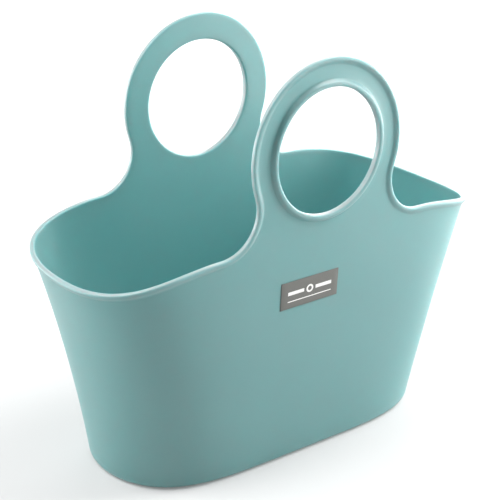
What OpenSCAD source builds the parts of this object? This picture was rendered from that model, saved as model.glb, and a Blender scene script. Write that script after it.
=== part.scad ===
// Soft moulded tote with two ring handles, for carrying and storing bath things.
// The tub, both handles and every lip are one moulding. A small label sits on its front wall.
// +Z is up, the long side runs along X, the labelled front faces -Y. The origin is the middle of the base.

/* [Tub] */
// Length of the base
base_len = 273.5; // [230:0.5:325]
// Width of the base
base_w = 124; // [105:1:150]
// Length at the two ends of the rim
rim_len = 339; // [285:1:407]
// Width of the rim at the foot of the handles
rim_w = 150; // [126:0.5:182]
// Height of the rim at the foot of the handles
rim_h = 178; // [148:1:194]
// How much lower the rim is at the two ends
rim_dip = 17; // [5:0.5:30]
// How late the rim starts to dip, 1 is a straight slope
rim_sweep = 1.7; // [1.2:0.05:2.5]
// Thickness of the walls
wall = 2.4; // [1.8:0.1:3.6]
// Thickness of the floor
floor_t = 3; // [2:0.1:5]
// Radius of the bottom edge
base_edge_r = 5; // [4:0.5:9]

/* [Curve of the walls] */
// Straightness of the long walls at the base, 2 is an ellipse
base_side_square = 4.6; // [3:0.1:6]
// Straightness of the long walls at the rim
rim_side_square = 7.9; // [5:0.1:9]
// Straightness of the end walls at the base, 2 is a round end
base_end_square = 2; // [2:0.1:3]
// Straightness of the end walls at the rim
rim_end_square = 2.3; // [2:0.1:3.5]
// Bow of the end walls, 0 is straight and 1 turns outwards the most
end_bow = 0.5; // [0:0.05:0.9]
// Bow of the long walls, below 0 they lean out at the bottom and stand upright at the top
side_bow = -0.65; // [-0.8:0.05:0.2]

/* [Handles] */
// Height of the middle of the hand hole
ring_h = 237.5; // [225:0.5:275]
// Outside diameter of the handle ring
ring_d = 129; // [107:1:155]
// Diameter of the hand hole
hole_d = 89; // [74:1:107]
// Radius of the curve from the rim up into the ring
neck_r = 29; // [20:0.5:40]

/* [Lips] */
// How far the lip along the rim and around the rings stands out from the wall
rim_lip_h = 1.5; // [0.8:0.1:3]
// Width of the flat top of that lip
rim_lip_top = 1.8; // [1.6:0.1:3]
// Width of the slope from that lip down to the wall
rim_lip_slope = 4; // [2:0.5:6]
// How far the lip around each hand hole stands out
hole_lip_h = 2.6; // [1:0.1:4]
// Width of the flat top of that lip
hole_lip_top = 2.4; // [1.6:0.1:4]
// Width of the slope from that lip down to the wall
hole_lip_slope = 3.4; // [2:0.2:6]
// Rounding of every free edge
edge_r = 1.3; // [0.8:0.1:1.7]

/* [Label] */
// Length of the label
label_len = 51; // [30:1:70]
// Height of the label
label_w = 20.5; // [14:0.5:30]
// Thickness of the label
label_t = 0.5; // [0.3:0.1:1]
// Sideways place of the label, measured from the middle of the front wall
label_x = -11; // [-25:1:25]
// Height of the middle of the label
label_h = 138; // [110:1:145]
// Thickness of the printed mark
mark_t = 0.1; // [0.05:0.05:0.3]

/* [Hidden] */

shell_colour = "#8fb9b8";
label_colour = "#96928c";
mark_colour = "#f2f2ee";

ring_r = ring_d / 2;
hole_r = hole_d / 2;
top_h = ring_h + ring_r;
// The fillet circle touches the rim line below it and the ring beside it.
neck_h = rim_h + neck_r;
neck_x = sqrt(pow(ring_r + neck_r, 2) - pow(ring_h - neck_h, 2));
neck_a = atan2(ring_h - neck_h, neck_x);
// The wall stops this far inside its lips, which cover its cut edge.
edge_cut = 1.6;
// The foot of each slope is sunk this far below the face of the wall.
sink = 0.3;

outline_steps = 14;   // outline points in each quarter
outline_ease = 2;     // how much closer together they are in the middle of the long walls
edge_steps = 4;       // steps around the base edge
wall_steps = 11;      // bands from the base edge to the top
rim_steps = 10;       // lip sections along the rim, in each quarter
neck_steps = 6;       // lip sections along the fillet
ring_steps = 12;      // lip sections from the fillet to the top of the ring
hole_steps = 40;      // lip sections around a hand hole
round_steps = 2;      // steps around each rounded edge of a lip

// ---- The curved wall: a point on its outer face is named by an outline angle t and a height z ----

function blend(low, high, bow, q) = low + (high - low) * ((1 - bow) * q + bow * q * q);
function half_len(z) = blend(base_len, rim_len, end_bow, z / (rim_h - rim_dip)) / 2;
function half_w(z) = blend(base_w, rim_w, side_bow, z / rim_h) / 2;
function grow(low, high, z) = low + (high - low) * min(z / rim_h, 1);
function side_square(z) = grow(base_side_square, rim_side_square, z);
function end_square(z) = grow(base_end_square, rim_end_square, z);

function len_slope(z) = half_len(z + 0.5) - half_len(z - 0.5);
function w_slope(z) = half_w(z + 0.5) - half_w(z - 0.5);
function side_square_slope(z) = side_square(z + 0.5) - side_square(z - 0.5);
function end_square_slope(z) = end_square(z + 0.5) - end_square(z - 0.5);

// side = [sign of x, sign of y] picks the quarter
function wall_point(t, z, side) = [
    side.x * half_len(z) * pow(cos(t), 2 / side_square(z)),
    side.y * half_w(z) * pow(sin(t), 2 / end_square(z)),
    z
];

function unit(v) = v / norm(v);

// How fast (a share of the half size) to the power p changes with height
function power_slope(share, p, p_slope, half, half_slope) =
    pow(share, p) * (p_slope * ln(max(share, 0.001)) - p * half_slope / half);

function wall_normal(t, z, side) = let (
    p = side_square(z),
    q = end_square(z),
    fx = pow(cos(t), 2 / p),
    fy = pow(sin(t), 2 / q)
) unit([
    side.x * p * pow(fx, p - 1) / half_len(z),
    side.y * q * pow(fy, q - 1) / half_w(z),
    power_slope(fx, p, side_square_slope(z), half_len(z), len_slope(z))
        + power_slope(fy, q, end_square_slope(z), half_w(z), w_slope(z))
]);

// The outline angle at which the wall has a given x
function angle_at(x, z) = acos(pow(min(abs(x) / half_len(z), 1), side_square(z) / 2));

// ---- The free edge: rim, fillets and rings ----

function rim_z(x) = rim_h - rim_dip
    * pow(max(0, (abs(x) - neck_x) / (rim_len / 2 - neck_x)), rim_sweep);

// The rim's height at an outline angle, found by stepping between wall and rim line
function rim_z_at(t, z = rim_h, tries = 5) =
    tries == 0 ? z : rim_z_at(t, rim_z(wall_point(t, z, [1, 1]).x), tries - 1);

rim_start_t = angle_at(neck_x, rim_h);

// One quarter of the free edge as [t, z], from the top of a ring to the end of the tub
function edge_quarter() = concat(
    [for (i = [0:ring_steps]) let (a = 90 - (90 + neck_a) * i / ring_steps,
        z = ring_h + ring_r * sin(a)) [angle_at(ring_r * cos(a), z), z]],
    [for (i = [1:neck_steps]) let (a = 180 - neck_a + (90 + neck_a) * i / neck_steps,
        z = neck_h + neck_r * sin(a)) [angle_at(neck_x + neck_r * cos(a), z), z]],
    [for (i = [1:rim_steps]) let (t = rim_start_t * (1 - i / rim_steps)) [t, rim_z_at(t)]]
);

// The whole free edge as [t, z, side], anticlockwise from above, from the top of the front ring
function edge_loop() = let (q = edge_quarter(), n = len(q) - 1) concat(
    [for (i = [0:n]) [q[i].x, q[i].y, [1, -1]]],
    [for (i = [n - 1:-1:0]) [q[i].x, q[i].y, [1, 1]]],
    [for (i = [1:n]) [q[i].x, q[i].y, [-1, 1]]],
    [for (i = [n - 1:-1:1]) [q[i].x, q[i].y, [-1, -1]]]
);

// The edge of the front hand hole, anticlockwise as seen from the front
function hole_loop() = [for (i = [0:hole_steps - 1]) let (a = 360 * i / hole_steps,
    x = hole_r * cos(a), z = ring_h + hole_r * sin(a)) [angle_at(x, z), z, [x < 0 ? -1 : 1, -1]]];

// ---- A lip: one cross-section carried along a free edge ----

// Cross-section as [distance in from the edge, distance out from the outer face]
function lip_section(h, top, slope) = concat(
    [[edge_cut, -wall]],
    [for (i = [0:round_steps]) let (a = 90 * i / round_steps)
        [edge_r * (1 - sin(a)), -wall + edge_r * (1 - cos(a))]],
    [for (i = [0:round_steps]) let (a = 90 * i / round_steps)
        [edge_r * (1 - cos(a)), h - edge_r * (1 - sin(a))]],
    [for (u = [0.25:0.25:0.75]) [top + slope * u, h * (1 + cos(180 * u)) / 2]],
    [[top + slope, -sink], [top + slope, -wall * 0.6]]
);

module swept_lip(edge, section) {
    n = len(edge);
    m = len(section);
    at = [for (e = edge) wall_point(e[0], e[1], e[2])];
    out = [for (e = edge) wall_normal(e[0], e[1], e[2])];
    away = [for (i = [0:n - 1]) unit(cross(out[i], at[(i + 1) % n] - at[(i + n - 1) % n]))];
    polyhedron(
        points = [for (i = [0:n - 1]) for (s = section) at[i] - s.x * away[i] + s.y * out[i]],
        faces = [for (i = [0:n - 1]) for (j = [0:m - 1])
            [i * m + j, (i + 1) % n * m + j, (i + 1) % n * m + (j + 1) % m, i * m + (j + 1) % m]]
    );
}

// ---- The body of the moulding ----

// Outline angle at a share of the way from the end to the middle of a long wall
function outline_angle(share) = 90 * (1 - pow(1 - share, outline_ease));

// A level outline, moved out by d square to the wall
function level(z, d) = [for (k = [0:4 * outline_steps - 1]) let (
    quarter = floor(k / outline_steps),
    share = (k % outline_steps) / outline_steps,
    t = outline_angle(quarter % 2 == 0 ? share : 1 - share),
    side = [quarter == 1 || quarter == 2 ? -1 : 1, quarter > 1 ? -1 : 1],
    n = wall_normal(t, z, side),
    flat = norm([n.x, n.y])
) wall_point(t, z, side) + d / flat * [n.x / flat, n.y / flat, 0]];

// A stack of levels, each given as [height of the outline, distance out, height it is drawn at]
module stack(levels) {
    rings = [for (v = levels) [for (p = level(v[0], v[1])) [p.x, p.y, v[2]]]];
    for (i = [0:len(levels) - 2]) let (corners = concat(rings[i], rings[i + 1]))
        hull() polyhedron(points = corners, faces = [[for (k = [0:len(corners) - 1]) k]]);
}

// Levels of a body that starts at a rounded edge of radius r, with its wall moved out by d
function body_levels(foot, r, d, top) = concat(
    [for (i = [0:edge_steps]) let (a = 90 * i / edge_steps, z = foot + r * (1 - cos(a)))
        [z, d - r * (1 - sin(a)), z]],
    [for (i = [1:wall_steps]) let (z = foot + r + (top - foot - r) * i / wall_steps) [z, d, z]]
);

// Half of the side view that the wall is trimmed to, short of the free edge by edge_cut
module half_profile() {
    polygon(concat(
        [[0, -1], [rim_len, -1], [rim_len, rim_z(rim_len / 2)]],
        [for (i = [0:rim_steps]) let (x = rim_len / 2 + (neck_x - rim_len / 2) * i / rim_steps)
            [x, rim_z(x) - edge_cut]],
        [for (i = [1:neck_steps]) let (a = 270 - (90 + neck_a) * i / neck_steps)
            [neck_x, neck_h] + (neck_r + edge_cut) * [cos(a), sin(a)]],
        [[0, ring_h]]
    ));
}

module side_profile() {
    half_profile();
    mirror([1, 0]) half_profile();
    translate([0, ring_h]) circle(r = ring_r - edge_cut, $fn = 4 * ring_steps);
}

module tub_and_handles() {
    difference() {
        intersection() {
            stack(body_levels(0, base_edge_r, 0, top_h));
            rotate([90, 0, 0]) linear_extrude(2 * rim_w, center = true) side_profile();
        }
        stack(body_levels(floor_t, base_edge_r - wall, -wall, top_h + 1));
        translate([0, 0, ring_h]) rotate([90, 0, 0])
            cylinder(r = hole_r + edge_cut, h = 2 * rim_w, center = true, $fn = hole_steps);
    }
}

module tote_shell() {
    color(shell_colour) union() {
        tub_and_handles();
        swept_lip(edge_loop(), lip_section(rim_lip_h, rim_lip_top, rim_lip_slope));
        for (back = [0, 1]) mirror([0, back, 0])
            swept_lip(hole_loop(), lip_section(hole_lip_h, hole_lip_top, hole_lip_slope));
    }
}

// ---- The label, flat against the front wall ----

module on_front_wall(x, z) {
    translate([x, -half_w(z), z]) rotate([atan(w_slope(z)), 0, 0]) rotate([90, 0, 0]) children();
}

module face_label() {
    color(label_colour) on_front_wall(label_x, label_h)
        linear_extrude(label_t) square([label_len, label_w], center = true);
}

// A plain printed ornament: a ring between two bars, over a thin line
module label_mark() {
    bar = [label_len * 0.28, label_w * 0.13];
    color(mark_colour) on_front_wall(label_x, label_h) translate([0, 0, label_t]) linear_extrude(mark_t) {
        translate([0, label_w * 0.06]) {
            difference() {
                circle(d = label_w * 0.3);
                circle(d = label_w * 0.16);
            }
            for (side = [-1, 1]) translate([side * label_len * 0.24, 0]) square(bar, center = true);
        }
        translate([0, -label_w * 0.24]) square([label_len * 0.76, label_w * 0.035], center = true);
    }
}

tote_shell();
face_label();
label_mark();
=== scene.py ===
"""A soft moulded tote with two ring handles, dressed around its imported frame.

The tub, the handles and every lip are one moulding, modelled here as one closed skin. A quarter of
it is shaped from two grids laid on the curved wall, its lips are extruded round the free edges, and
the quarter is mirrored twice. The label and its printed ornament lie on the front wall.
All lengths are in metres, in the frame's own axes: +Z up, the long side along X, the label on -Y.
"""

import logging
import math
from collections.abc import Callable
from dataclasses import dataclass, field
from enum import Enum

import bmesh
import bpy
import numpy as np
from mathutils import Matrix, Vector

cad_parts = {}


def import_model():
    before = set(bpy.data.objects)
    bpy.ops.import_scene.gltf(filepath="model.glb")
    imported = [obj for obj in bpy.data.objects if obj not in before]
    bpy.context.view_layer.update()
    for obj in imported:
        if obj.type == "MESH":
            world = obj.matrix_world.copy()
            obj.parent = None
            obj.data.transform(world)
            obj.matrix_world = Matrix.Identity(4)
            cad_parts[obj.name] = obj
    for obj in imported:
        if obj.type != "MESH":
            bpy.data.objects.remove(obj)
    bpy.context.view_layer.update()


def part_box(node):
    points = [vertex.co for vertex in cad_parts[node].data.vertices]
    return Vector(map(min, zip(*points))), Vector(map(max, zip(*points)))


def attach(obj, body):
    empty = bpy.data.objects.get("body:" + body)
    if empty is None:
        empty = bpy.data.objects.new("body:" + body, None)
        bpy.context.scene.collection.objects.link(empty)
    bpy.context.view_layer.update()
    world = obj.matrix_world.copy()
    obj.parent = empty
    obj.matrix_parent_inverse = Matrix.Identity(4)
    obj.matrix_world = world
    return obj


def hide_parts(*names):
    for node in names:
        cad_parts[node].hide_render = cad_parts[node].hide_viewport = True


LOG = logging.getLogger("tote")
MM = 0.001
SHELL_NODE = "tote_shell"
LABEL_NODE = "face_label"
MARK_NODE = "label_mark"
BODY = "root"
LIP_HIGHLIGHT = "lip_highlight"  # point attribute for the painted highlight on the lips, 1 on the crest of a lip and 0 on the plain wall
AIM_HEIGHT = 142.7 * MM  # height of the point that the camera and the lights are set round
Colour = tuple[float, float, float]


class Side(Enum):
    """Which face of the moulded wall a sheet makes."""

    OUTSIDE = "outside"
    INSIDE = "inside"


# ---- working in edit mode


def deselect_everything() -> None:
    """Leaves object mode with nothing selected."""
    if bpy.context.object is not None and bpy.context.object.mode != "OBJECT":
        bpy.ops.object.mode_set(mode="OBJECT")
    bpy.ops.object.select_all(action="DESELECT")


def take_up(piece: bpy.types.Object) -> None:
    """Makes one piece the only selected and the active object.

    Args:
        piece: The piece.
    """
    deselect_everything()
    piece.select_set(True)
    bpy.context.view_layer.objects.active = piece


def edit(piece: bpy.types.Object) -> None:
    """Opens one piece in edit mode with nothing selected in it.

    Args:
        piece: The piece.
    """
    take_up(piece)
    bpy.ops.object.mode_set(mode="EDIT")
    bpy.ops.mesh.select_all(action="DESELECT")


def close_edit() -> None:
    """Goes back to object mode."""
    bpy.ops.object.mode_set(mode="OBJECT")


def join(pieces: list[bpy.types.Object], name: str) -> bpy.types.Object:
    """Joins several pieces into the first one.

    Args:
        pieces: The pieces, of which the first one is kept.
        name: The name of the result.

    Returns:
        The joined piece.
    """
    deselect_everything()
    for piece in pieces:
        piece.select_set(True)
    bpy.context.view_layer.objects.active = pieces[0]
    bpy.ops.object.join()
    pieces[0].name = name
    return pieces[0]


def merge_doubles(piece: bpy.types.Object, distance: float) -> None:
    """Merges the points of a piece that lie closer together than a distance.

    Args:
        piece: The piece.
        distance: The distance.
    """
    edit(piece)
    bpy.ops.mesh.select_all(action="SELECT")
    bpy.ops.mesh.remove_doubles(threshold=distance)
    close_edit()


def face_outwards(piece: bpy.types.Object) -> None:
    """Turns all the faces of a piece the same way, outwards where it is closed.

    Args:
        piece: The piece.
    """
    edit(piece)
    bpy.ops.mesh.select_all(action="SELECT")
    bpy.ops.mesh.normals_make_consistent(inside=False)
    close_edit()


def select_edges(piece: bpy.types.Object, wanted: Callable[[bmesh.types.BMEdge], bool]) -> None:
    """Selects only the edges of a piece in edit mode that a test wants.

    Args:
        piece: The piece, open in edit mode.
        wanted: The test.
    """
    bpy.ops.mesh.select_all(action="DESELECT")
    mesh = bmesh.from_edit_mesh(piece.data)
    for edge in mesh.edges:
        edge.select_set(wanted(edge))
    bmesh.update_edit_mesh(piece.data)


def apply_modifier(piece: bpy.types.Object, kind: str, **settings: object) -> None:
    """Adds a modifier to a piece and applies it.

    Args:
        piece: The piece.
        kind: The modifier's type, as bpy names it.
        settings: Its settings by name.
    """
    take_up(piece)
    bpy.ops.object.modifier_add(type=kind)
    modifier = piece.modifiers[-1]
    for key, value in settings.items():
        setattr(modifier, key, value)
    bpy.ops.object.modifier_apply(modifier=modifier.name)


def smooth(piece: bpy.types.Object) -> None:
    """Shades a piece smooth all over."""
    take_up(piece)
    bpy.ops.object.shade_smooth()


def grid(name: str, across: int, up: int) -> tuple[bpy.types.Object, np.ndarray]:
    """Adds a grid to be laid somewhere.

    Args:
        name: The name of the piece.
        across: How many faces it has one way.
        up: How many faces it has the other way.

    Returns:
        The piece, and for each of its points the whole numbers (step across, step up).
    """
    deselect_everything()
    bpy.ops.mesh.primitive_grid_add(x_subdivisions=across, y_subdivisions=up, size=1.0)
    piece = bpy.context.object
    piece.name = name
    flat = points_of(piece)
    steps = (flat[:, :2] + 0.5) * np.array([across, up])
    return piece, np.rint(steps).astype(int)


def points_of(piece: bpy.types.Object) -> np.ndarray:
    """The points of a piece's mesh, as rows.

    Args:
        piece: The piece.

    Returns:
        The points.
    """
    flat = np.empty(len(piece.data.vertices) * 3)
    piece.data.vertices.foreach_get("co", flat)
    return flat.reshape(-1, 3)


def set_points(piece: bpy.types.Object, places: np.ndarray) -> None:
    """Moves the points of a piece's mesh."""
    piece.data.vertices.foreach_set("co", np.ascontiguousarray(places).ravel())
    piece.data.update()


# ---- the moulding's sizes


@dataclass(frozen=True)
class LipSection:
    """The cross-section of a lip along a free edge.

    Args:
        rise: How far the lip stands out from the wall.
        top: Width of its flat top.
        slope: Width of the slope from the top down to the wall.
        slope_steps: Steps over the slope.
        round_steps: Steps round each of the two rounded corners.
        flank_highlight: Share of painted highlight in the colour of the flat top, where the crest
            has 1.
    """

    rise: float
    top: float
    slope: float
    slope_steps: int = 9
    round_steps: int = 6
    flank_highlight: float = 0.32

    @property
    def foot(self) -> float:
        """Distance from the free edge to where the lip meets the wall."""
        return self.top + self.slope

    def steps(self, wall: float, edge_r: float) -> list[tuple[float, float, float]]:
        """The section from its outer foot round the free edge to the inner face.

        Args:
            wall: Thickness of the wall.
            edge_r: Radius of the two rounded corners of the edge.

        Returns:
            For each step its distance in from the free edge, its distance out from the outer face,
            and its share of painted highlight.
        """
        steps = []
        # The third number is the share of painted highlight: it grows up the slope, is full on the
        # crest and fades round the inner corner.
        for i in range(1, self.slope_steps + 1):
            eased = (1 - math.cos(math.pi * i / self.slope_steps)) / 2
            inset = self.foot - self.slope * (i / self.slope_steps)
            steps.append((inset, self.rise * eased, self.flank_highlight * eased))
        turns = [i / self.round_steps * math.pi / 2 for i in range(self.round_steps + 1)]
        for turn in turns:
            crest = self.flank_highlight + (1 - self.flank_highlight) * math.sin(turn) ** 3
            out = self.rise - edge_r * (1 - math.cos(turn))
            steps.append((edge_r * (1 - math.sin(turn)), out, crest))
        for turn in turns:
            out = -wall + edge_r * (1 - math.sin(turn))
            steps.append((edge_r * (1 - math.cos(turn)), out, 1 - math.sin(turn)))
        return [*steps, ((edge_r + self.foot) / 2, -wall, 0.0), (self.foot, -wall, 0.0)]


@dataclass(frozen=True)
class Moulding:
    """The shape of the tub's curved wall and of its free edge.

    A place on the wall is named by its fraction round a quarter of the outline, 0 at the middle of
    the long wall and 1 at the middle of the end wall, and by its height.

    Args:
        height: Overall height.
        base_length: Length at the base.
        base_width: Width at the base.
        rim_length: Length at the lowest part of the rim.
        rim_width: Width at the height of the rim.
        rim_height: Height of the rim beside the handles.
        rim_dip: How much lower the rim is at the ends.
        rim_sweep: Power of the curve along which it drops.
        wall: Thickness of the wall.
        floor: Thickness of the floor.
        base_edge_r: Radius of the outer edge of the base.
        side_square: How square the outline is along X, at the base and at the rim.
        end_square: The same along Y.
        end_bow: How much the ends bow inwards over their height.
        side_bow: The same for the long walls, which bow outwards.
        ring_d: Outside diameter of a handle ring.
        hole_d: Diameter of a hand hole.
        neck_r: Radius of the curve from the rim up into a ring.
        edge_r: Radius of the rounded corners of every free edge.
        rim_lip: The lip along the rim and round the rings.
        hole_lip: The lip round a hand hole.
    """

    height: float
    base_length: float = 273.5 * MM
    base_width: float = 124.0 * MM
    rim_length: float = 338.88 * MM
    rim_width: float = 149.99 * MM
    rim_height: float = 178.0 * MM
    rim_dip: float = 17.0 * MM
    rim_sweep: float = 1.7
    wall: float = 2.4 * MM
    floor: float = 3.0 * MM
    base_edge_r: float = 5.0 * MM
    side_square: tuple[float, float] = (4.6, 7.9)
    end_square: tuple[float, float] = (2.0, 2.3)
    end_bow: float = 0.5
    side_bow: float = -0.65
    ring_d: float = 129.0 * MM
    hole_d: float = 89.0 * MM
    neck_r: float = 29.0 * MM
    edge_r: float = 1.3 * MM
    rim_lip: LipSection = LipSection(rise=1.5 * MM, top=1.8 * MM, slope=4.0 * MM)
    hole_lip: LipSection = LipSection(rise=2.6 * MM, top=2.4 * MM, slope=3.4 * MM)

    @classmethod
    def from_frame(cls) -> "Moulding":
        """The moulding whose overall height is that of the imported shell, less a hair.

        Returns:
            The moulding.
        """
        low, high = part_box(SHELL_NODE)
        clearance = 0.02 * MM
        return cls(height=high.z - low.z - clearance)

    @property
    def ring_r(self) -> float:
        """Outside radius of a handle ring."""
        return self.ring_d / 2

    @property
    def hole_r(self) -> float:
        """Radius of a hand hole."""
        return self.hole_d / 2

    @property
    def ring_height(self) -> float:
        """Height of the middle of a hand hole."""
        return self.height - self.ring_r

    @property
    def neck_height(self) -> float:
        """Height of the middle of the curve from the rim up into a ring."""
        return self.rim_height + self.neck_r

    @property
    def neck_x(self) -> float:
        """Distance of the middle of that curve from the middle of the wall."""
        reach = self.ring_r + self.neck_r
        return math.sqrt(reach**2 - (self.ring_height - self.neck_height) ** 2)

    @property
    def neck_angle(self) -> float:
        """Angle below the level at which the curve touches the ring."""
        return math.atan2(self.ring_height - self.neck_height, self.neck_x)

    @staticmethod
    def blend(low: float, high: float, bow: float, q: np.ndarray) -> np.ndarray:
        """A size that grows from low to high as q goes from 0 to 1, bowed by bow."""
        return low + (high - low) * ((1 - bow) * q + bow * q * q)

    def half_length(self, z: np.ndarray) -> np.ndarray:
        """Half the length of the outline at a height."""
        q = z / (self.rim_height - self.rim_dip)
        return self.blend(self.base_length, self.rim_length, self.end_bow, q) / 2

    def half_width(self, z: np.ndarray) -> np.ndarray:
        """Half the width of the outline at a height."""
        return self.blend(self.base_width, self.rim_width, self.side_bow, z / self.rim_height) / 2

    def power(self, ends: tuple[float, float], z: np.ndarray) -> np.ndarray:
        """A power of the outline at a height, from its values at the base and at the rim."""
        return ends[0] + (ends[1] - ends[0]) * np.clip(z / self.rim_height, 0.0, 1.0)

    def point(self, t: np.ndarray, z: np.ndarray) -> np.ndarray:
        """Points on the outer face of the front right quarter.

        Args:
            t: Outline angles, 90 degrees at the middle of the front and 0 at the end.
            z: Heights.

        Returns:
            The points as rows.
        """
        p, q = self.power(self.side_square, z), self.power(self.end_square, z)
        x = self.half_length(z) * np.clip(np.cos(t), 0.0, 1.0) ** (2.0 / p)
        y = -self.half_width(z) * np.clip(np.sin(t), 0.0, 1.0) ** (2.0 / q)
        return np.stack([x, y, z + 0.0 * t], axis=-1)

    def normal(self, t: np.ndarray, z: np.ndarray) -> np.ndarray:
        """Outward directions square to the wall at outline angles t and heights z.

        Args:
            t: Outline angles.
            z: Heights.

        Returns:
            The directions as rows, each of length 1.
        """
        p, q = self.power(self.side_square, z), self.power(self.end_square, z)
        a, b = self.half_length(z), self.half_width(z)
        fx = np.clip(np.cos(t), 0.0, 1.0) ** (2.0 / p)
        fy = np.clip(np.sin(t), 0.0, 1.0) ** (2.0 / q)
        step, least = 0.5 * MM, 0.001

        def rise(size: Callable[[np.ndarray], np.ndarray]) -> np.ndarray:
            """How fast a size grows with height."""
            return (size(z + step) - size(z - step)) / (2 * step)

        p_rise = rise(lambda h: self.power(self.side_square, h))
        q_rise = rise(lambda h: self.power(self.end_square, h))
        up = fx**p * (p_rise * np.log(np.maximum(fx, least)) - p * rise(self.half_length) / a)
        up = up + fy**q * (q_rise * np.log(np.maximum(fy, least)) - q * rise(self.half_width) / b)
        out = np.stack([p * fx ** (p - 1) / a, -q * fy ** (q - 1) / b, up], axis=-1)
        return out / np.linalg.norm(out, axis=-1, keepdims=True)

    def angle_at(self, x: np.ndarray, z: np.ndarray) -> np.ndarray:
        """Outline angle at which the wall has a given x."""
        share = np.clip(np.abs(x) / self.half_length(z), 0.0, 1.0)
        return np.arccos(np.clip(share ** (self.power(self.side_square, z) / 2.0), 0.0, 1.0))

    def outline(self, z: float) -> tuple[np.ndarray, np.ndarray]:
        """A quarter of the outline at a height.

        Args:
            z: The height.

        Returns:
            Outline angles from the front to the end, and the distance along the wall to each.
        """
        samples, ease = 400, 4
        t = math.pi / 2 * (1.0 - np.linspace(0.0, 1.0, samples) ** ease)
        points = self.point(t, np.full(samples, z))
        steps = np.linalg.norm(np.diff(points, axis=0), axis=1)
        return t, np.concatenate([[0.0], np.cumsum(steps)])

    def angle_of_fraction(self, fraction: np.ndarray, z: np.ndarray) -> np.ndarray:
        """Outline angles at fractions of the way round a quarter, each at its own height.

        Args:
            fraction: The fractions.
            z: The height of each.

        Returns:
            The outline angles.
        """
        angles = np.empty(len(z))
        for i, (share, height) in enumerate(zip(fraction, z, strict=True)):
            t, along = self.outline(float(height))
            angles[i] = np.interp(share * along[-1], along, t)
        return angles

    def fraction_of_angle(self, t: np.ndarray, z: np.ndarray) -> np.ndarray:
        """Fractions of the way round a quarter at outline angles, each at its own height.

        Args:
            t: The outline angles.
            z: The height of each.

        Returns:
            The fractions.
        """
        shares = np.empty(len(z))
        for i, (angle, height) in enumerate(zip(t, z, strict=True)):
            angles, along = self.outline(float(height))
            shares[i] = np.interp(-angle, -angles, along) / along[-1]
        return shares

    def rim_z(self, x: np.ndarray) -> np.ndarray:
        """Height of the rim line over a given x.

        Args:
            x: Distances along X from the middle.

        Returns:
            The heights.
        """
        run = self.rim_length / 2 - self.neck_x
        share = np.clip((np.abs(x) - self.neck_x) / run, 0.0, None)
        return self.rim_height - self.rim_dip * share**self.rim_sweep

    def rim_z_at(self, t: np.ndarray) -> np.ndarray:
        """Height of the rim line at an outline angle.

        Args:
            t: Outline angles.

        Returns:
            The heights.
        """
        z = np.full(len(t), self.rim_height)
        rounds = 6
        for _ in range(rounds):
            z = self.rim_z(self.point(t, z)[:, 0])
        return z


# ---- finishes


@dataclass
class Paint:
    """A material while its nodes are being set up.

    Args:
        name: The material's name.
    """

    name: str
    made: bpy.types.Material = field(init=False)
    nodes: bpy.types.Nodes = field(init=False)
    links: bpy.types.NodeLinks = field(init=False)
    shader: bpy.types.Node = field(init=False)
    place: bpy.types.NodeSocket = field(init=False)

    def __post_init__(self) -> None:
        """Makes the plain material, and finds its shader and the place on the piece."""
        self.made = bpy.data.materials.new(self.name)
        self.made.use_nodes = True
        self.nodes, self.links = self.made.node_tree.nodes, self.made.node_tree.links
        self.shader = self.nodes["Principled BSDF"]
        self.place = self.nodes.new("ShaderNodeTexCoord").outputs["Object"]

    def noise(self, scale: float, detail: float, roughness: float = 0.5) -> bpy.types.NodeSocket:
        """Adds a noise over the piece.

        Args:
            scale: How fine the noise is, in waves a metre.
            detail: How many finer layers it has.
            roughness: How strong those layers are.

        Returns:
            The noise's output.
        """
        cloud = self.nodes.new("ShaderNodeTexNoise")
        cloud.inputs["Scale"].default_value = scale
        cloud.inputs["Detail"].default_value = detail
        cloud.inputs["Roughness"].default_value = roughness
        self.links.new(self.place, cloud.inputs["Vector"])
        return cloud.outputs["Fac"]

    def tint(
        self, noise: bpy.types.NodeSocket, colour: Colour, spread: float
    ) -> bpy.types.NodeSocket:
        """Varies a colour a little with a noise.

        Args:
            noise: The noise's output.
            colour: The mean colour.
            spread: The most that it varies either way, as a share.

        Returns:
            The varied colour's output.
        """
        mix = self.nodes.new("ShaderNodeMix")
        mix.data_type = "RGBA"
        mix.inputs["A"].default_value = (*(c * (1.0 - spread) for c in colour), 1.0)
        mix.inputs["B"].default_value = (*(min(c * (1.0 + spread), 1.0) for c in colour), 1.0)
        self.links.new(noise, mix.inputs["Factor"])
        return mix.outputs["Result"]

    def roughen(self, noise: bpy.types.NodeSocket, strength: float, depth: float) -> None:
        """Bumps the surface with a noise, to a depth in metres.

        Args:
            noise: The noise's output.
            strength: How much of the depth shows.
            depth: The depth in metres.
        """
        bump = self.nodes.new("ShaderNodeBump")
        bump.inputs["Strength"].default_value = strength
        bump.inputs["Distance"].default_value = depth
        self.links.new(noise, bump.inputs["Height"])
        self.links.new(bump.outputs["Normal"], self.shader.inputs["Normal"])


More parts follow.
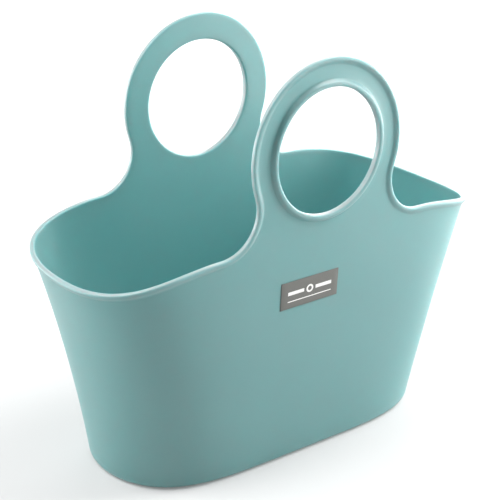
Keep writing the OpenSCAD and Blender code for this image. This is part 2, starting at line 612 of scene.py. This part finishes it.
@dataclass(frozen=True)
class MouldedPlastic:
    """Satin soft plastic with the fine grain of a spark-finished mould.

    Args:
        colour: Linear base colour.
        lip_highlight_colour: Linear base colour on the crest of a lip, a painted highlight where
            the rounded edge catches the light.
        colour_spread: The most that the base colour varies, as a share.
        blotch: How fine that variation is, in waves a metre.
        roughness: Mean roughness.
        roughness_spread: The most that the roughness varies.
        sheen: Strength of the surface reflection, 0.5 for plain plastic.
        refraction: The plastic's index of refraction.
        grain: Size of the grain.
        grain_depth: Depth of the grain.
        grain_strength: How much of that depth shows.
        depth: How far each colour of light travels in the soft plastic.
        glow: Share of the light that enters the plastic before it is scattered back.
    """

    colour: Colour = (0.145, 0.32, 0.32)
    lip_highlight_colour: Colour = (0.31, 0.36, 0.365)
    colour_spread: float = 0.045
    blotch: float = 14.0
    roughness: float = 0.38
    roughness_spread: float = 0.04
    sheen: float = 0.7
    refraction: float = 1.5
    grain: float = 0.35 * MM
    grain_depth: float = 0.02 * MM
    grain_strength: float = 0.25
    depth: Colour = (2.0 * MM, 6.0 * MM, 6.0 * MM)
    glow: float = 1.0

    def material(self, name: str) -> bpy.types.Material:
        """The plastic as a material of that name.

        Args:
            name: The material's name.

        Returns:
            The material.
        """
        paint = Paint(name)
        nodes, links, shader = paint.nodes, paint.links, paint.shader
        shader.inputs["IOR"].default_value = self.refraction
        shader.inputs["Specular IOR Level"].default_value = self.sheen
        shader.subsurface_method = "RANDOM_WALK"
        shader.inputs["Subsurface Weight"].default_value = self.glow
        shader.inputs["Subsurface Radius"].default_value = self.depth
        shader.inputs["Subsurface Scale"].default_value = 1.0

        cloud = paint.noise(self.blotch, detail=4.0, roughness=0.55)
        tinted = paint.tint(cloud, self.colour, self.colour_spread)
        # Painted highlight: the base colour turns pale towards the crest of every lip, where light
        # catches the rounded edge.
        highlight_mask = nodes.new("ShaderNodeAttribute")
        highlight_mask.attribute_name = LIP_HIGHLIGHT
        lip = nodes.new("ShaderNodeMix")
        lip.data_type = "RGBA"
        lip.inputs["B"].default_value = (*self.lip_highlight_colour, 1.0)
        links.new(highlight_mask.outputs["Fac"], lip.inputs["Factor"])
        links.new(tinted, lip.inputs["A"])
        links.new(lip.outputs["Result"], shader.inputs["Base Color"])

        gloss = nodes.new("ShaderNodeMapRange")
        gloss.inputs["To Min"].default_value = self.roughness - self.roughness_spread
        gloss.inputs["To Max"].default_value = self.roughness + self.roughness_spread
        links.new(cloud, gloss.inputs["Value"])
        links.new(gloss.outputs["Result"], shader.inputs["Roughness"])
        speckle = paint.noise(1.0 / self.grain, detail=2.0)
        paint.roughen(speckle, self.grain_strength, self.grain_depth)
        return paint.made


@dataclass(frozen=True)
class PrintedFilm:
    """Matt printed film or ink.

    Args:
        colour: Linear base colour.
        roughness: Roughness of the print.
        colour_spread: The most that the colour varies, as a share.
        fibre: How fine the film's texture is, in waves a metre.
        fibre_depth: Depth of that texture.
        fibre_strength: How much of that depth shows.
    """

    colour: Colour
    roughness: float
    colour_spread: float = 0.07
    fibre: float = 900.0
    fibre_depth: float = 0.02 * MM
    fibre_strength: float = 0.15

    def material(self, name: str) -> bpy.types.Material:
        """The print as a material of that name.

        Args:
            name: The material's name.

        Returns:
            The material.
        """
        paint = Paint(name)
        fibre = paint.noise(self.fibre, detail=3.0)
        tinted = paint.tint(fibre, self.colour, self.colour_spread)
        paint.links.new(tinted, paint.shader.inputs["Base Color"])
        paint.shader.inputs["Roughness"].default_value = self.roughness
        paint.roughen(fibre, self.fibre_strength, self.fibre_depth)
        return paint.made


# ---- the shell


@dataclass
class ToteShell:
    """The one-piece moulding: tub, floor, both handles and all the lips.

    Args:
        shape: Its sizes.
        finish: Its plastic.
        under_hole: Faces across the wall under a hand hole, up to the narrowest part of the neck.
        fillet_upper: Faces round the neck above its narrowest part.
        fillet_lower: Faces round the neck below it.
        along_rim: Faces along the rim from the neck to the end.
        over_ring: Faces from the top of a ring to the neck.
        wall_rows: Rows of faces up the wall.
        edge_rows: Rows of faces round the edge of the base.
        ring_rows: Rows of faces between the two lips of a ring.
        drop_under_hole: How far below the hand hole the ring's sheet meets the tub's.
        base_under_hole: Distance along the base that the columns under a hand hole take.
        base_past_fillet: Distance along the base up to which the neck's columns reach.
        floor_rings: Sizes of the shrinking rings of the floor, each a share of the one before.
        merge: Distance below which two points are one.
    """

    shape: Moulding
    finish: MouldedPlastic = field(default_factory=MouldedPlastic)
    under_hole: int = 14
    fillet_upper: int = 3
    fillet_lower: int = 12
    along_rim: int = 42
    over_ring: int = 28
    wall_rows: int = 40
    edge_rows: int = 6
    ring_rows: int = 3
    drop_under_hole: float = 22.0 * MM
    base_under_hole: float = 50.22 * MM
    base_past_fillet: float = 80.0 * MM
    floor_rings: tuple[float, ...] = (0.97, 0.85, 0.7, 0.5)
    merge: float = 0.002 * MM

    # ---- places on the wall, each as (outline angle, height)

    def ring_row(self, inset: float) -> np.ndarray:
        """Side-view places (x, z) from the top of the ring to where the neck is narrowest.

        Args:
            inset: Distance in from the free edge.

        Returns:
            The places as rows, all on the front right quarter.
        """
        m = self.shape
        ring = np.linspace(math.pi / 2, -m.neck_angle, self.over_ring + 1)
        neck = np.linspace(math.pi - m.neck_angle, math.pi, self.fillet_upper + 1)[1:]
        ring_r = m.ring_r - inset
        over = np.stack([ring_r * np.cos(ring), m.ring_height + ring_r * np.sin(ring)], axis=-1)
        return np.concatenate([over, self.neck_curve(neck, inset)])

    def neck_curve(self, turn: np.ndarray, inset: float) -> np.ndarray:
        """Side-view places (x, z) at angles round the curve from the rim into the ring.

        Args:
            turn: The angles.
            inset: Distance in from the free edge.

        Returns:
            The places as rows.
        """
        m = self.shape
        radius = m.neck_r + inset
        x, z = m.neck_x + radius * np.cos(turn), m.neck_height + radius * np.sin(turn)
        return np.stack([x, z], axis=-1)

    def fillet_row(self, inset: float) -> np.ndarray:
        """Side-view places (x, z) from the narrowest part of the neck down to the rim."""
        turn = np.linspace(math.pi, 1.5 * math.pi, self.fillet_lower + 1)[1:]
        return self.neck_curve(turn, inset)

    def rim_angles(self) -> np.ndarray:
        """Outline angles of the sections along the rim, evenly spaced from the neck to the end.

        Returns:
            The outline angles.
        """
        m = self.shape
        start = float(m.angle_at(np.array([m.neck_x]), np.array([m.rim_height]))[0])
        t, along = m.outline(m.rim_height)
        first = np.interp(-start, -t, along)
        return np.interp(np.linspace(first, along[-1], self.along_rim + 1)[1:], along, t)

    def free_edge(self, inset: float) -> tuple[np.ndarray, np.ndarray]:
        """The quarter's row of places that runs a given distance inside the free edge.

        Args:
            inset: Distance in from the free edge.

        Returns:
            Outline angles and heights, from the top of the ring to the end of the tub.
        """
        m = self.shape
        upper = np.concatenate([self.ring_row(inset), self.fillet_row(inset)])
        rim_t = self.rim_angles()
        rim_z = m.rim_z_at(rim_t) - inset
        t = np.concatenate([m.angle_at(upper[:, 0], upper[:, 1]), rim_t])
        return t, np.concatenate([upper[:, 1], rim_z])

    def under_hole_row(self) -> np.ndarray:
        """Side-view places from the narrowest part of the neck down and in under the hand hole.

        Returns:
            The places (x, z) as rows.
        """
        m = self.shape
        narrow = self.ring_row(m.rim_lip.foot)[-1]
        lowest = m.ring_height - m.hole_r - self.drop_under_hole
        share = 1.0 - np.arange(1, self.under_hole + 1) / self.under_hole
        return np.stack([narrow[0] * share, lowest + (narrow[1] - lowest) * share**2], axis=-1)

    def hole_edge(self, inset: float) -> tuple[np.ndarray, np.ndarray]:
        """The row of places that runs a given distance outside the edge of the hand hole.

        Args:
            inset: Distance from the edge of the hole.

        Returns:
            Outline angles and heights.
        """
        m = self.shape
        rim = np.concatenate([self.ring_row(m.rim_lip.foot), self.under_hole_row()])
        turn = np.arctan2(rim[:, 1] - m.ring_height, rim[:, 0])
        radius = m.hole_r + inset
        x, z = radius * np.cos(turn), m.ring_height + radius * np.sin(turn)
        return m.angle_at(x, z), z

    # ---- laying sheets on the wall

    def lay(self, t: np.ndarray, z: np.ndarray, out: np.ndarray | float) -> np.ndarray:
        """Points at a distance out from the outer face, on the front right quarter.

        Args:
            t: Outline angles.
            z: Heights.
            out: Distance out for each, or one for all.

        Returns:
            The points as rows.
        """
        placed = self.shape.point(t, z) + np.asarray(out)[..., None] * self.shape.normal(t, z)
        near = 1e-9
        placed[np.abs(t - math.pi / 2) < near, 0] = 0.0
        placed[np.abs(t) < near, 1] = 0.0
        return placed

    def tub_sheet(self, side: Side) -> bpy.types.Object:
        """A quarter of the tub's wall, from the edge of the floor to the foot of the lip.

        Args:
            side: The face of the wall that the sheet makes.

        Returns:
            The sheet as a piece.
        """
        m = self.shape
        columns = self.under_hole + self.fillet_lower + self.along_rim
        rows = self.edge_rows + self.wall_rows
        sheet, steps = grid(f"tub_{side.value}", columns, rows)

        below = self.under_hole_row()[::-1]
        edge_t, edge_z = self.free_edge(m.rim_lip.foot)
        first = self.over_ring + self.fillet_upper
        top_t = np.concatenate([m.angle_at(below[:, 0], below[:, 1]), edge_t[first:]])
        top_z = np.concatenate([below[:, 1], edge_z[first:]])
        top_share = m.fraction_of_angle(top_t, top_z)

        _, along = m.outline(0.0)
        knots = np.array([0, self.under_hole, self.under_hole + self.fillet_lower, columns])
        marks = np.array([0.0, self.base_under_hole, self.base_past_fillet, along[-1]]) / along[-1]
        base_share = np.interp(np.arange(columns + 1), knots, marks)

        inside = side is Side.INSIDE
        foot = m.floor if inside else 0.0
        radius = m.base_edge_r - m.wall if inside else m.base_edge_r
        depth = m.wall if inside else 0.0
        turn = np.clip(steps[:, 1] / self.edge_rows, 0.0, 1.0) * math.pi / 2
        rise = np.clip((steps[:, 1] - self.edge_rows) / self.wall_rows, 0.0, 1.0)
        column = steps[:, 0]
        start = foot + radius
        up_wall = start + (top_z[column] - start) * rise
        z = np.where(rise > 0, up_wall, foot + radius * (1 - np.cos(turn)))
        share = base_share[column] + (top_share[column] - base_share[column]) * rise
        t = m.angle_of_fraction(share, z)
        t[column == 0] = math.pi / 2
        t[column == columns] = 0.0
        top = rise == 1.0
        t[top] = top_t[column[top]]

        placed = self.lay(t, z, np.full(len(t), -depth))
        level = m.normal(t, z) * np.array([1.0, 1.0, 0.0])
        level /= np.linalg.norm(level, axis=1, keepdims=True)
        curl = self.shape.point(t, z) - level * (depth + radius * (1 - np.sin(turn)))[:, None]
        low = steps[:, 1] < self.edge_rows
        placed[low] = curl[low]
        placed[column == 0, 0] = 0.0
        placed[column == columns, 1] = 0.0
        set_points(sheet, placed)
        return sheet

    def ring_sheet(self, side: Side) -> bpy.types.Object:
        """Half of a handle ring, from the foot of the hole's lip to the foot of the outer lip.

        Args:
            side: The face of the wall that the sheet makes.

        Returns:
            The sheet as a piece.
        """
        m = self.shape
        edge_t, edge_z = self.free_edge(m.rim_lip.foot)
        count = self.over_ring + self.fillet_upper + 1
        below = self.under_hole_row()
        outer_x = np.concatenate([m.point(edge_t[:count], edge_z[:count])[:, 0], below[:, 0]])
        outer_z = np.concatenate([edge_z[:count], below[:, 1]])
        hole_t, hole_z = self.hole_edge(m.hole_lip.foot)
        hole_x = m.point(hole_t, hole_z)[:, 0]
        sheet, steps = grid(f"ring_{side.value}", len(outer_x) - 1, self.ring_rows)
        share = steps[:, 1] / self.ring_rows
        place = steps[:, 0]
        x = hole_x[place] + (outer_x[place] - hole_x[place]) * share
        z = hole_z[place] + (outer_z[place] - hole_z[place]) * share
        ends = (place == 0) | (place == len(outer_x) - 1)
        x[ends] = 0.0
        depth = m.wall if side is Side.INSIDE else 0.0
        set_points(sheet, self.lay(m.angle_at(x, z), z, np.full(len(x), -depth)))
        return sheet

    # ---- lips

    def roll_lip(
        self,
        sheet: bpy.types.Object,
        section: LipSection,
        row: Callable[[float], tuple[np.ndarray, np.ndarray]],
    ) -> None:
        """Extrudes the open edge of the outside sheet round to the inside, one step at a time, and
        gives each step's points their share of painted highlight.

        Args:
            sheet: The joined outside sheet of the quarter.
            section: The lip's cross-section.
            row: Gives the row's outline angles and heights for a distance in from the edge.
        """
        t, z = row(section.foot)
        start = self.lay(t, z, np.zeros(len(t)))
        edit(sheet)
        bpy.ops.mesh.select_mode(type="EDGE")
        mesh = bmesh.from_edit_mesh(sheet.data)
        # Point attribute for the painted highlight on the lips, filled in step by step below.
        if LIP_HIGHLIGHT not in mesh.verts.layers.float:
            mesh.verts.layers.float.new(LIP_HIGHLIGHT)
        mark = mesh.verts.layers.int.new("place")
        reach = 1e-6
        for vert in mesh.verts:
            gap = np.linalg.norm(start - np.array(vert.co), axis=1)
            nearest = int(gap.argmin())
            vert[mark] = nearest + 1 if gap[nearest] < reach else 0
        for edge in mesh.edges:
            a, b = (v[mark] for v in edge.verts)
            edge.select_set(bool(a and b and abs(a - b) == 1 and edge.is_boundary))
        bmesh.update_edit_mesh(sheet.data)
        for inset, out, highlight_share in section.steps(self.shape.wall, self.shape.edge_r):
            t, z = row(inset)
            places = self.lay(t, z, np.full(len(t), out))
            bpy.ops.mesh.extrude_edges_move()
            mesh = bmesh.from_edit_mesh(sheet.data)
            mark = mesh.verts.layers.int["place"]
            # Painted highlight: the pale share of this step, set on its new points.
            pale = mesh.verts.layers.float[LIP_HIGHLIGHT]
            for vert in mesh.verts:
                if vert.select:
                    vert.co = places[vert[mark] - 1]
                    vert[pale] = highlight_share
            bmesh.update_edit_mesh(sheet.data)
        mesh = bmesh.from_edit_mesh(sheet.data)
        mesh.verts.layers.int.remove(mesh.verts.layers.int["place"])
        bmesh.update_edit_mesh(sheet.data)
        bpy.ops.mesh.select_mode(type="VERT")
        close_edit()

    # ---- floor

    def close_floor(self, shell: bpy.types.Object, height: float) -> None:
        """Fills the floor at one height with shrinking rings and a middle face.

        Args:
            shell: The mirrored shell, open at the floor.
            height: Height of the floor's face.
        """
        near = 1e-6
        edit(shell)
        bpy.ops.mesh.select_mode(type="EDGE")
        select_edges(
            shell,
            lambda edge: edge.is_boundary and all(abs(v.co.z - height) < near for v in edge.verts),
        )
        middle = (0.0, 0.0, height)
        for shrink in self.floor_rings:
            bpy.ops.mesh.extrude_edges_move()
            bpy.ops.transform.resize(value=(shrink, shrink, 1.0), center_override=middle)
        bpy.ops.mesh.edge_face_add()
        bpy.ops.mesh.select_mode(type="VERT")
        close_edit()

    def build(self) -> bpy.types.Object:
        """Models the whole shell.

        Returns:
            The shell as one closed piece.
        """
        m, name = self.shape, "moulded_shell"
        outside = join([self.tub_sheet(Side.OUTSIDE), self.ring_sheet(Side.OUTSIDE)], name)
        merge_doubles(outside, self.merge)
        self.roll_lip(outside, m.rim_lip, self.free_edge)
        self.roll_lip(outside, m.hole_lip, self.hole_edge)
        inside = join([self.tub_sheet(Side.INSIDE), self.ring_sheet(Side.INSIDE)], "inner_skin")
        shell = join([outside, inside], name)
        merge_doubles(shell, self.merge)
        quarters = {"use_axis": (True, True, False), "use_clip": True}
        apply_modifier(shell, "MIRROR", merge_threshold=self.merge, **quarters)
        for height in (0.0, m.floor):
            self.close_floor(shell, height)
        merge_doubles(shell, self.merge)
        face_outwards(shell)
        smooth(shell)
        return shell

    def dress(self, shell: bpy.types.Object) -> None:
        """Gives the shell its finish and its place in the frame.

        Args:
            shell: The modelled shell.
        """
        shell.data.materials.clear()
        shell.data.materials.append(self.finish.material("moulded_teal"))
        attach(shell, BODY)
        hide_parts(SHELL_NODE)


# ---- the label and its print


@dataclass(frozen=True)
class LabelPlace:
    """Where the label lies on the front wall.

    Args:
        shape: The moulding that it lies on.
        side: Sideways distance of its middle from the middle of the wall.
        height: Height of its middle.
        length: Its length.
        width: Its width, up the wall.
    """

    shape: Moulding
    side: float = -11.0 * MM
    height: float = 138.0 * MM
    length: float = 51.0 * MM
    width: float = 20.5 * MM

    def press_on(self, piece: bpy.types.Object) -> None:
        """Moves a flat piece, drawn round the origin and facing +Z, onto the wall.

        Args:
            piece: The flat piece.
        """
        flat = points_of(piece)
        up = self.shape.normal(np.array([math.pi / 2]), np.array([self.height]))[0]
        x = flat[:, 0] + self.side
        z = self.height + flat[:, 1] * abs(up[1])
        t = self.shape.angle_at(np.abs(x), z)
        wall, out = self.shape.point(t, z), self.shape.normal(t, z)
        placed = wall + out * flat[:, 2:3]
        placed[:, 0] = x
        set_points(piece, placed)


@dataclass
class FaceLabel:
    """The small film label.

    Args:
        place: Where it lies.
        thickness: How far it stands out from the wall.
        sink: How far it reaches into the wall.
        corner_r: Radius of its corners.
        edge_r: Size of the softened edge of its face.
        cuts: How many strips it is cut into, along and across, to follow the wall.
        finish: Its film.
    """

    place: LabelPlace
    thickness: float = 0.45 * MM
    sink: float = 0.1 * MM
    corner_r: float = 0.9 * MM
    edge_r: float = 0.18 * MM
    cuts: tuple[int, int] = (12, 6)
    finish: PrintedFilm = PrintedFilm(colour=(0.145, 0.147, 0.135), roughness=0.65)

    def cut_up(self) -> None:
        """Cuts the label in edit mode into strips along and across."""
        sizes = (self.place.length, self.place.width)
        for axis, (size, strips) in enumerate(zip(sizes, self.cuts, strict=True)):
            for cut in range(1, strips):
                place, normal = [0.0, 0.0, 0.0], [0.0, 0.0, 0.0]
                place[axis], normal[axis] = size * (cut / strips - 0.5), 1.0
                bpy.ops.mesh.select_all(action="SELECT")
                bpy.ops.mesh.bisect(plane_co=place, plane_no=normal)

    def build(self) -> bpy.types.Object:
        """Models the label with rounded corners and a softened edge.

        Returns:
            The label as one closed piece.
        """
        deselect_everything()
        depth = self.thickness + self.sink
        bpy.ops.mesh.primitive_cube_add(
            size=1.0, scale=(self.place.length, self.place.width, depth)
        )
        label = bpy.context.object
        label.name = "film_label"
        edit(label)
        select_edges(label, lambda e: abs(e.verts[0].co.z - e.verts[1].co.z) > depth / 2)
        bpy.ops.mesh.bevel(offset=self.corner_r, segments=5, affect="EDGES")
        select_edges(label, lambda e: all(v.co.z > depth / 4 for v in e.verts))
        bpy.ops.mesh.bevel(offset=self.edge_r, segments=3, affect="EDGES")
        self.cut_up()
        bpy.ops.mesh.select_all(action="SELECT")
        bpy.ops.transform.translate(value=(0.0, 0.0, depth / 2 - self.sink))
        close_edit()
        self.place.press_on(label)
        take_up(label)
        bpy.ops.object.shade_smooth_by_angle(angle=math.radians(40.0))
        label.data.materials.append(self.finish.material("label_film"))
        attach(label, BODY)
        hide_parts(LABEL_NODE)
        return label


@dataclass
class PrintedMark:
    """The plain ornament on the label: a ring between two bars, over a thin line.

    Args:
        place: Where the label lies.
        film: Height of the label's face above the wall.
        ink: Thickness of the ink.
        raised: Height of the ring and the bars on the label, as a share of its width.
        ring_radii: Outer and inner radius of the ring, as shares of its width.
        bar_side: Sideways distance of a bar from the middle, as a share of its length.
        bar_size: Length and width of a bar, as shares of the label's.
        line_drop: Distance of the thin line below the middle, as a share of its width.
        line_size: Length and width of that line, as shares of the label's.
        finish: Its ink.
    """

    place: LabelPlace
    film: float = 0.45 * MM
    ink: float = 0.05 * MM
    raised: float = 0.06
    ring_radii: tuple[float, float] = (0.15, 0.08)
    bar_side: float = 0.24
    bar_size: tuple[float, float] = (0.28, 0.13)
    line_drop: float = 0.24
    line_size: tuple[float, float] = (0.76, 0.035)
    finish: PrintedFilm = PrintedFilm(colour=(0.86, 0.86, 0.84), roughness=0.55)

    def bar(self, x: float, y: float, size: tuple[float, float]) -> bpy.types.Object:
        """A flat bar, placed and sized in shares of the label's length and width.

        Args:
            x: Place along the label.
            y: Place up the label.
            size: Length and width.

        Returns:
            The bar as a piece.
        """
        strip, _ = grid("bar", 12, 1)
        length, width = self.place.length, self.place.width
        stretch = np.array([size[0] * length, size[1] * width, 1.0])
        middle = np.array([x * length, y * width, 0.0])
        set_points(strip, points_of(strip) * stretch + middle)
        return strip

    def ring(self) -> bpy.types.Object:
        """The flat ring.

        Returns:
            The ring as a piece.
        """
        outer, inner = self.ring_radii
        deselect_everything()
        bpy.ops.mesh.primitive_circle_add(
            vertices=64, radius=outer * self.place.width, fill_type="NOTHING"
        )
        loop = bpy.context.object
        edit(loop)
        bpy.ops.mesh.select_all(action="SELECT")
        bpy.ops.mesh.extrude_edges_move()
        share = inner / outer
        bpy.ops.transform.resize(value=(share, share, 1.0), center_override=(0.0, 0.0, 0.0))
        bpy.ops.mesh.select_all(action="SELECT")
        bpy.ops.transform.translate(value=(0.0, self.raised * self.place.width, 0.0))
        close_edit()
        return loop

    def build(self) -> bpy.types.Object:
        """Models the printed ornament.

        Returns:
            The ornament as one piece.
        """
        flats = [
            self.ring(),
            self.bar(self.bar_side, self.raised, self.bar_size),
            self.bar(-self.bar_side, self.raised, self.bar_size),
            self.bar(0.0, -self.line_drop, self.line_size),
        ]
        mark = join(flats, "printed_mark")
        face_outwards(mark)
        up = sum(face.normal.z for face in mark.data.polygons) > 0
        apply_modifier(mark, "SOLIDIFY", thickness=self.ink, offset=1.0 if up else -1.0)
        flat = points_of(mark)
        flat[:, 2] += self.film - flat[:, 2].min() - 0.5 * self.ink
        set_points(mark, flat)
        self.place.press_on(mark)
        mark.data.materials.append(self.finish.material("mark_ink"))
        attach(mark, BODY)
        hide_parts(MARK_NODE)
        return mark


# ---- camera, floor and light


@dataclass(frozen=True)
class SoftLight:
    """One large soft light.

    Args:
        name: Its name.
        azimuth: Direction from the tote, in degrees round from the front towards the right.
        elevation: Height above the horizon, in degrees.
        distance: Distance from the tote, in metres.
        width: Width of the light.
        height: Height of the light.
        power: Power in watts.
    """

    name: str
    azimuth: float
    elevation: float
    distance: float
    width: float
    height: float
    power: float

    def build(self, aim: Vector) -> None:
        """Hangs the light so that it faces a point.

        Args:
            aim: The point.
        """
        a, e = math.radians(self.azimuth), math.radians(self.elevation)
        away = Vector((math.sin(a) * math.cos(e), -math.cos(a) * math.cos(e), math.sin(e)))
        data = bpy.data.lights.new(self.name, "AREA")
        data.shape = "RECTANGLE"
        data.size, data.size_y, data.energy = self.width, self.height, self.power
        lamp = bpy.data.objects.new(self.name, data)
        bpy.context.scene.collection.objects.link(lamp)
        lamp.location = aim + away * self.distance
        lamp.rotation_euler = away.to_track_quat("Z", "Y").to_euler()


@dataclass
class Studio:
    """The pale floor, the soft lights and the surrounding light.

    Args:
        middle: The point that the lights face.
        lights: The soft lights.
        surround: Strength of the light from all round.
        floor_size: Length of the floor's sides.
        floor_shade: How pale the floor's own surface is.
        floor_glow: Strength of the light from the floor, near the tote and far from it.
        glow_reach: Distances between which that light goes from the one to the other.
    """

    middle: Vector
    lights: tuple[SoftLight, ...] = (
        SoftLight("left_back_box", -150.0, 5.0, 1.5, 0.9, 0.5, power=8.3),
        SoftLight("left_box", -122.0, 3.0, 1.2, 0.7, 0.35, power=4.2),
        SoftLight("right_box", 56.0, 6.0, 0.8, 0.4, 0.35, power=3.6),
        SoftLight("right_side_box", 78.0, 7.0, 0.9, 0.4, 0.4, power=4.4),
        SoftLight("right_back_box", 108.0, 12.0, 1.5, 0.9, 0.9, power=4.4),
        SoftLight("back_box", 140.0, 12.0, 1.5, 0.9, 0.9, power=14.3),
        SoftLight("left_top_box", -112.0, 55.0, 1.5, 0.9, 0.9, power=25.0),
        SoftLight("right_top_box", 67.0, 50.0, 1.5, 0.9, 0.9, power=25.5),
        SoftLight("front_top_box", -20.0, 66.0, 1.5, 0.9, 0.9, power=5.0),
    )
    surround: float = 0.0
    floor_size: float = 40.0
    floor_shade: float = 0.5
    floor_glow: tuple[float, float] = (0.18, 1.0)
    glow_reach: tuple[float, float] = (0.9, 2.4)

    def build(self) -> None:
        """Sets up the floor, the lights and the world."""
        for light in self.lights:
            light.build(self.middle)
        self.lay_floor()
        world = bpy.data.worlds.new("surround")
        bpy.context.scene.world = world
        world.use_nodes = True
        sky = world.node_tree.nodes["Background"]
        sky.inputs["Color"].default_value = (1.0, 1.0, 1.0, 1.0)
        sky.inputs["Strength"].default_value = self.surround
        bpy.context.scene.view_settings.view_transform = "Standard"

    def lay_floor(self) -> None:
        """Lays the plain pale floor that the tote stands on, which glows as a light: faintly near
        the tote and fully further out.
        """
        deselect_everything()
        bpy.ops.mesh.primitive_plane_add(size=self.floor_size, location=(0.0, 0.0, 0.0))
        floor = bpy.context.object
        floor.name = "studio_floor"
        paint = Paint("pale_floor")
        links, shader = paint.links, paint.shader
        shader.inputs["Base Color"].default_value = (*(self.floor_shade,) * 3, 1.0)
        shader.inputs["Emission Color"].default_value = (1.0, 1.0, 1.0, 1.0)
        reach = paint.nodes.new("ShaderNodeVectorMath")
        reach.operation = "LENGTH"
        links.new(paint.place, reach.inputs[0])
        glow = paint.nodes.new("ShaderNodeMapRange")
        names = ("From Min", "From Max", "To Min", "To Max")
        for name, value in zip(names, self.glow_reach + self.floor_glow, strict=True):
            glow.inputs[name].default_value = value
        links.new(reach.outputs["Value"], glow.inputs["Value"])
        links.new(glow.outputs["Result"], shader.inputs["Emission Strength"])
        shader.inputs["Roughness"].default_value = 0.9
        shader.inputs["Specular IOR Level"].default_value = 0.1
        floor.data.materials.append(paint.made)


@dataclass
class ViewCamera:
    """The camera, placed round the tote.

    Args:
        middle: The point that it is placed round.
        azimuth: Its direction from there, in degrees round from the front towards the right.
        elevation: Its height above the horizon, in degrees.
        roll: How far it leans over, in degrees.
        distance: Its distance.
        lens: Focal length in millimetres.
        sensor: Width of its sensor in millimetres.
        clip: Nearest and furthest distance that it sees.
        aim_right: How far right of the middle it is aimed.
        aim_up: How far above the middle it is aimed.
    """

    middle: Vector
    azimuth: float = -38.30
    elevation: float = 22.73
    roll: float = 1.1
    distance: float = 1.0564
    lens: float = 103.6
    sensor: float = 36.0
    clip: tuple[float, float] = (0.05, 60.0)
    aim_right: float = -5.1 * MM
    aim_up: float = -2.9 * MM

    def build(self) -> None:
        """Adds the camera and makes it the scene's own."""
        a, e, r = (math.radians(v) for v in (self.azimuth, self.elevation, self.roll))
        back = Vector((math.sin(a) * math.cos(e), -math.cos(a) * math.cos(e), math.sin(e)))
        right = Vector((math.cos(a), math.sin(a), 0.0))
        up = back.cross(right)
        tilted_right = right * math.cos(r) + up * math.sin(r)
        tilted_up = up * math.cos(r) - right * math.sin(r)
        place = self.middle + back * self.distance
        target = self.middle + tilted_right * self.aim_right + tilted_up * self.aim_up
        view_back = (place - target).normalized()
        view_right = tilted_up.cross(view_back).normalized()
        view_up = view_back.cross(view_right)
        data = bpy.data.cameras.new("view_camera")
        data.lens, data.sensor_width = self.lens, self.sensor
        data.clip_start, data.clip_end = self.clip
        camera = bpy.data.objects.new("view_camera", data)
        bpy.context.scene.collection.objects.link(camera)
        turn = Matrix((view_right, view_up, view_back)).transposed().to_4x4()
        camera.matrix_world = Matrix.Translation(place) @ turn
        bpy.context.scene.camera = camera


def main() -> None:
    """Builds everything in order."""
    logging.basicConfig(level=logging.INFO, format="%(name)s: %(message)s")
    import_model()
    aim = Vector((0.0, 0.0, AIM_HEIGHT))
    ViewCamera(aim).build()
    Studio(aim).build()

    shell = ToteShell(Moulding.from_frame())
    piece = shell.build()
    shell.dress(piece)
    place = LabelPlace(shell.shape)
    for made in (piece, FaceLabel(place).build(), PrintedMark(place).build()):
        LOG.info("%s: %d faces", made.name, len(made.data.polygons))


if __name__ == "__main__":
    main()
